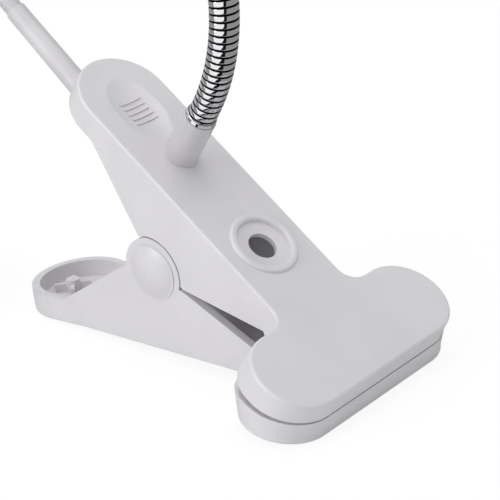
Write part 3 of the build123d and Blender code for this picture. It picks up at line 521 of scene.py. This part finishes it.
# ---- Light engine: LEDs, boards, heat sink and switch ----
# The LEDs are small domes of phosphor gel on an aluminium board with a white mask. Behind it are
# a die-cast heat sink, a green glass-fibre driver board and a black push switch.
phosphor = moulded(
    "phosphor_gel", "#E9C95A", "#D9B545", 0.2 * MM, 1 * MM, 0.002 * MM, 0.25
)
finish_node(["leds"], phosphor)
white_mask = moulded(
    "white_solder_mask", "#ECEDEB", "#E2E3E1", 0.3 * MM, 8 * MM, 0.002 * MM, 0.35
)
finish_node(["led_board"], white_mask)
green_mask = moulded(
    "green_solder_mask", "#2E6B45", "#245A39", 0.3 * MM, 5 * MM, 0.003 * MM, 0.3
)
finish_node(["driver_board"], green_mask)
switch_black = moulded(
    "black_moulded_nylon", "#2B2B2D", "#222224", 0.3 * MM, 4 * MM, 0.004 * MM, 0.5
)
finish_node(["switch_body"], switch_black)
cast_aluminium = turned_steel("die_cast_aluminium", "#B4B5B8", 0.5 * MM, 0.45)
finish_node(["heat_sink"], cast_aluminium)

# ---- Floor ----
# A wide sheet of matt white paper under the lamp. It glows a little to the camera, so that it
# stays white to its edge and still holds the lamp's soft shadow.
FLOOR_WIDTH = 8
FLOOR_GLOW = 1.03
FLOOR_GLOW_SHARE = 0.86     # the rest of what the camera sees is the paper as it is lit

bpy.ops.object.select_all(action="DESELECT")
bpy.ops.mesh.primitive_plane_add(size=FLOOR_WIDTH, location=(0, 0, 0))
floor = bpy.context.object
floor.name = "floor"
floor_paint, floor_tree, floor_shader = new_material(
    "white_paper", Base_Color=linear("#F4F4F4"), Roughness=0.9
)
light_path = add_node(floor_tree, "ShaderNodeLightPath").outputs["Is Camera Ray"]
part = add_node(
    floor_tree, "ShaderNodeMath", {0: light_path, 1: FLOOR_GLOW_SHARE}, operation="MULTIPLY"
)
glow = add_node(
    floor_tree, "ShaderNodeEmission", {"Color": (1, 1, 1, 1), "Strength": FLOOR_GLOW}
)
mix = add_node(
    floor_tree,
    "ShaderNodeMixShader",
    {0: part.outputs[0], 1: floor_shader.outputs[0], 2: glow.outputs[0]},
)
floor_tree.links.new(mix.outputs[0], floor_tree.nodes["Material Output"].inputs["Surface"])
floor.data.materials.append(floor_paint)
floor.visible_glossy = False

# ---- Backdrop and fill light ----
# A white surround. The camera sees it as plain white, matt surfaces get an even fill from it,
# and polished ones see it darker, as they would in a room with some dark walls.
SURROUND_SEEN = 1.0
SURROUND_FILL = 0.55
SURROUND_MIRRORED = 0.36

world = bpy.data.worlds.new("studio")
world.use_nodes = True
bpy.context.scene.world = world
sky = world.node_tree
sky.nodes.clear()
rays = add_node(sky, "ShaderNodeLightPath")
seen, fill, mirrored = (
    add_node(sky, "ShaderNodeBackground", {"Color": (1, 1, 1, 1), "Strength": strength})
    for strength in (SURROUND_SEEN, SURROUND_FILL, SURROUND_MIRRORED)
)
lit_mix = add_node(
    sky,
    "ShaderNodeMixShader",
    {0: rays.outputs["Is Glossy Ray"], 1: fill.outputs[0], 2: mirrored.outputs[0]},
)
sky_mix = add_node(
    sky,
    "ShaderNodeMixShader",
    {0: rays.outputs["Is Camera Ray"], 1: lit_mix.outputs[0], 2: seen.outputs[0]},
)
add_node(sky, "ShaderNodeOutputWorld", {"Surface": sky_mix.outputs[0]})

# ---- Softboxes ----
# Two square studio lamps behind diffusing cloth: the key lights the near side of the clip from
# the front left, and the other one lights its top.
LIT_POINT = (0, 0, 0.05)


def softbox(name, place, size, watts):
    """Square area lamp that looks at the clip."""
    lamp = bpy.data.lights.new(name, "AREA")
    lamp.shape = "SQUARE"
    lamp.size = size
    lamp.energy = watts
    made = bpy.data.objects.new(name, lamp)
    bpy.context.scene.collection.objects.link(made)
    made.location = place
    made.rotation_euler = (Vector(LIT_POINT) - Vector(place)).to_track_quat("-Z", "Y").to_euler()


softbox("key", (-0.35, -0.9, 0.55), 0.6, 4.1)
softbox("top", (0.1, 0.1, 1.2), 0.8, 5.0)

# ---- Reflection cards ----
# White, grey and black cards stand around the lamp, out of sight. Only the chrome mirrors them:
# the white one makes the bright band down the neck, the grey one its right side, and the black
# ones the dark line between them.


def card(name, place, turn, width, height, grey):
    """Card with an even glow, from 0 for black, that only polished surfaces see."""
    paper, _, _ = new_material(
        name,
        Roughness=0.9,
        Base_Color=(0.0, 0.0, 0.0, 1.0),
        Emission_Color=(grey, grey, grey, 1.0),
        Emission_Strength=1.0,
    )
    bpy.ops.mesh.primitive_plane_add(
        size=1, location=place, rotation=[math.radians(angle) for angle in turn]
    )
    made = bpy.context.object
    made.name = name
    made.scale = (width, height, 1)
    made.data.materials.append(paper)
    for ray in ("camera", "diffuse", "shadow", "transmission", "volume_scatter"):
        setattr(made, f"visible_{ray}", False)


card("white_card", (0, -1, 1.5), (90, 0, 0), 1.8, 6, 1.2)
card("black_card", (0.66, -0.61, 1.25), (90, 0, 47), 0.34, 5.5, 0)
card("black_strip", (-0.1, -0.31, -0.3), (0, 0, 0), 0.5, 0.12, 0)
card("slanting_black_strip", (0.45, -0.54, -0.3), (0, 0, -32), 0.9, 0.2, 0)
card("dark_flag", (0.16, -0.89, 0.98), (90, 0, 10), 0.14, 0.45, 0)
card("grey_card", (1, 0.05, 1.5), (90, 0, 93), 1.1, 6, 0.36)

# ---- Camera ----
# A long lens, a little above the clip and to its right.
camera_data = bpy.data.cameras.new("camera")
camera_data.sensor_width = 36
camera_data.lens = 123.0
camera = bpy.data.objects.new("camera", camera_data)
bpy.context.scene.collection.objects.link(camera)
camera.location = (0.23815, -0.27679, 0.19942)
camera.rotation_euler = [math.radians(a) for a in (65.887, 5.063, 41.056)]
bpy.context.scene.camera = camera
bpy.context.scene.view_settings.view_transform = "Standard"
